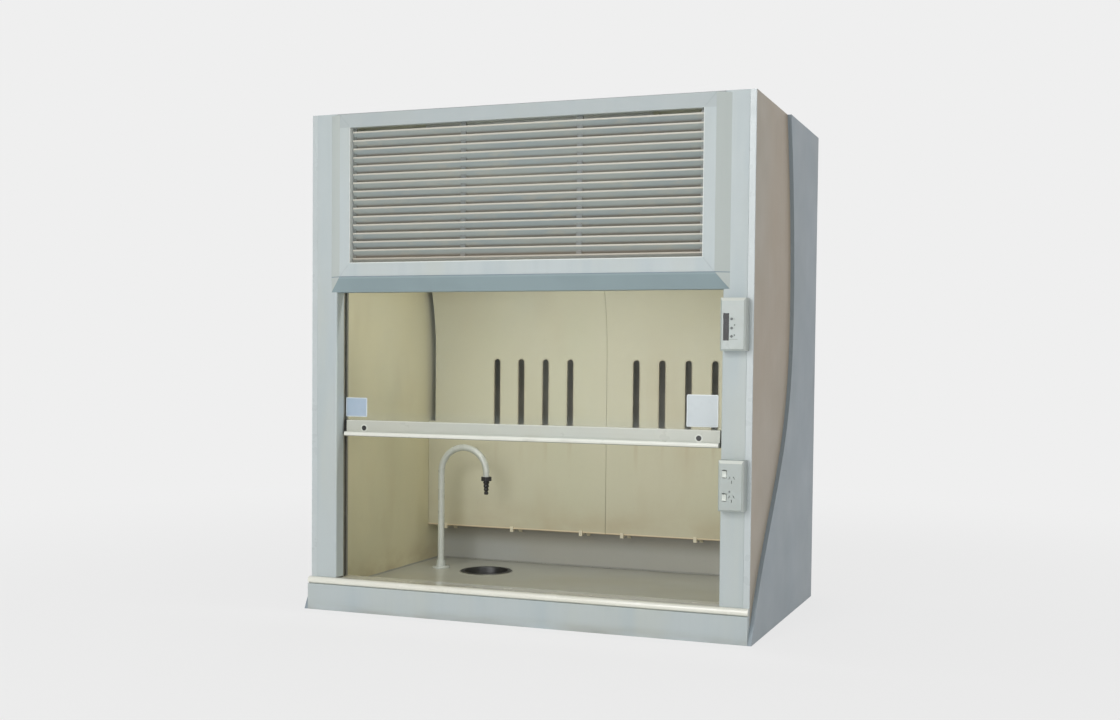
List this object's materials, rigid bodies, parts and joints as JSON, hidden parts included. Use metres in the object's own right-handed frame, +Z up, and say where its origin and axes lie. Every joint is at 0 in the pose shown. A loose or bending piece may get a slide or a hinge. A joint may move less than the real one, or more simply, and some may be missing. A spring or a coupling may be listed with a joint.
{
  "type": "chemical fume hood",
  "caption": "Bench-top fume cupboard: counterbalanced glass sash under a louvre grille, slotted baffle, water outlet with drip cup, control box and power outlet.",
  "frame": {"origin": "on the bench, at the middle of the overall width and depth", "axes": "+X to the right seen from the front, +Y to the back, +Z up"},
  "size_m": [1.2, 0.7332, 1.325],
  "materials": {
    "coated_panel": "satin",
    "louvre_coat": "satin",
    "cover_laminate": "satin",
    "carcass_board": "satin",
    "cream_liner": "satin",
    "edge_lipping": "satin",
    "grey_worktop": "satin",
    "sill_moulding": "gloss",
    "base_timber": "matt",
    "spigot_plastic": "satin",
    "lamp_tray": "gloss",
    "lamp_lens": "gloss",
    "lamp_glass": "gloss",
    "clear_glass": "gloss",
    "rail_coat": "satin",
    "black_plastic": "satin",
    "black_rubber": "matt",
    "channel_metal": "satin",
    "plain_steel": "satin",
    "weight_iron": "matt",
    "pulley_nylon": "satin",
    "box_moulding": "gloss",
    "button_plastic": "gloss",
    "display_window": "gloss",
    "circuit": "matt",
    "tap_coat": "satin",
    "cup_plastic": "satin",
    "pipe_plastic": "matt"
  },
  "bodies": {
    "cabinet": {"fascia": "coated_panel", "base_frame": "base_timber", "worktop": "grey_worktop", "rear_splash": "grey_worktop", "sill": "sill_moulding", "rear_panel": "carcass_board", "roof_panel": "cover_laminate", "exhaust_spigot": "spigot_plastic", "lamp_housing": "lamp_tray", "lamp_diffuser": "lamp_lens", "lamp_tube": "lamp_glass", "left_baffle": "cream_liner", "right_baffle": "cream_liner", "baffle_clips": "pulley_nylon", "baffle_standoffs": "spigot_plastic", "header_top": "coated_panel", "header_bottom": "coated_panel", "header_left": "coated_panel", "header_right": "coated_panel", "louvre_grille": "louvre_coat", "sash_stops": "black_rubber", "pulley_brackets": "plain_steel", "control_housing": "box_moulding", "control_display": "display_window", "control_board": "circuit", "outlet_block": "box_moulding", "outlet_plate": "box_moulding", "tap_base": "tap_coat", "drip_cup": "cup_plastic", "waste_pipe": "pipe_plastic", "water_pipe": "pipe_plastic", "left_side_panel": "carcass_board", "left_side_cover": "cover_laminate", "left_liner": "cream_liner", "left_edge_trim": "edge_lipping", "left_post": "coated_panel", "left_channel": "channel_metal", "left_cable": "plain_steel", "right_side_panel": "carcass_board", "right_side_cover": "cover_laminate", "right_liner": "cream_liner", "right_edge_trim": "edge_lipping", "right_post": "coated_panel", "right_channel": "channel_metal", "right_cable": "plain_steel"},
    "sash": {"sash_glass": "clear_glass", "sash_rail": "rail_coat", "rail_plugs": "black_plastic", "sash_guides": "black_plastic"},
    "spout": {"tap_spout": "tap_coat", "tap_nozzle": "cup_plastic"},
    "upper_switch": {"upper_rocker": "box_moulding"},
    "lower_switch": {"lower_rocker": "box_moulding"},
    "button_1": {"control_button_1": "button_plastic"},
    "button_2": {"control_button_2": "button_plastic"},
    "button_3": {"control_button_3": "button_plastic"},
    "left_wheel": {"left_pulley": "pulley_nylon"},
    "left_weight": {"left_counterweight": "weight_iron"},
    "right_wheel": {"right_pulley": "pulley_nylon"},
    "right_weight": {"right_counterweight": "weight_iron"}
  },
  "joints": [
    {"name": "sash_slide", "type": "slide", "parent": "cabinet", "child": "sash", "axis": [0, 0, 1], "range_m": [-0.369, 0.03], "deforming": ["left_cable", "right_cable"]},
    {"name": "left_weight_slide", "type": "slide", "parent": "cabinet", "child": "left_weight", "axis": [0, 0, 1], "range_m": [-0.031, 0.37]},
    {"name": "left_wheel_turn", "type": "hinge", "parent": "cabinet", "child": "left_wheel", "pos_m": [-0.541, -0.29635, 1.225], "axis": [1, 0, 0], "range_deg": [-1260, 120]},
    {"name": "right_weight_slide", "type": "slide", "parent": "cabinet", "child": "right_weight", "axis": [0, 0, 1], "range_m": [-0.031, 0.37]},
    {"name": "right_wheel_turn", "type": "hinge", "parent": "cabinet", "child": "right_wheel", "pos_m": [0.541, -0.29635, 1.225], "axis": [1, 0, 0], "range_deg": [-1260, 120]},
    {"name": "button_1_press", "type": "slide", "parent": "cabinet", "child": "button_1", "axis": [0, 1, 0], "range_m": [0, 0.001], "stiffness_N_per_m": 600},
    {"name": "button_2_press", "type": "slide", "parent": "cabinet", "child": "button_2", "axis": [0, 1, 0], "range_m": [0, 0.001], "stiffness_N_per_m": 600},
    {"name": "button_3_press", "type": "slide", "parent": "cabinet", "child": "button_3", "axis": [0, 1, 0], "range_m": [0, 0.001], "stiffness_N_per_m": 600},
    {"name": "upper_switch_rock", "type": "hinge", "parent": "cabinet", "child": "upper_switch", "pos_m": [0.5355, -0.35835, 0.399], "axis": [1, 0, 0], "range_deg": [-14, 0]},
    {"name": "lower_switch_rock", "type": "hinge", "parent": "cabinet", "child": "lower_switch", "pos_m": [0.5355, -0.35835, 0.345], "axis": [1, 0, 0], "range_deg": [-14, 0]},
    {"name": "spout_swivel", "type": "hinge", "parent": "cabinet", "child": "spout", "pos_m": [-0.458, 0.15665, 0.05], "axis": [0, 0, 1], "range_deg": [-110, 40]}
  ],
  "couplings": [
    {"joint": "left_weight_slide", "follows": "sash_slide", "ratio": -1},
    {"joint": "left_wheel_turn", "follows": "sash_slide", "rad_per_m": 58.824},
    {"joint": "right_weight_slide", "follows": "sash_slide", "ratio": -1},
    {"joint": "right_wheel_turn", "follows": "sash_slide", "rad_per_m": 58.824}
  ]
}
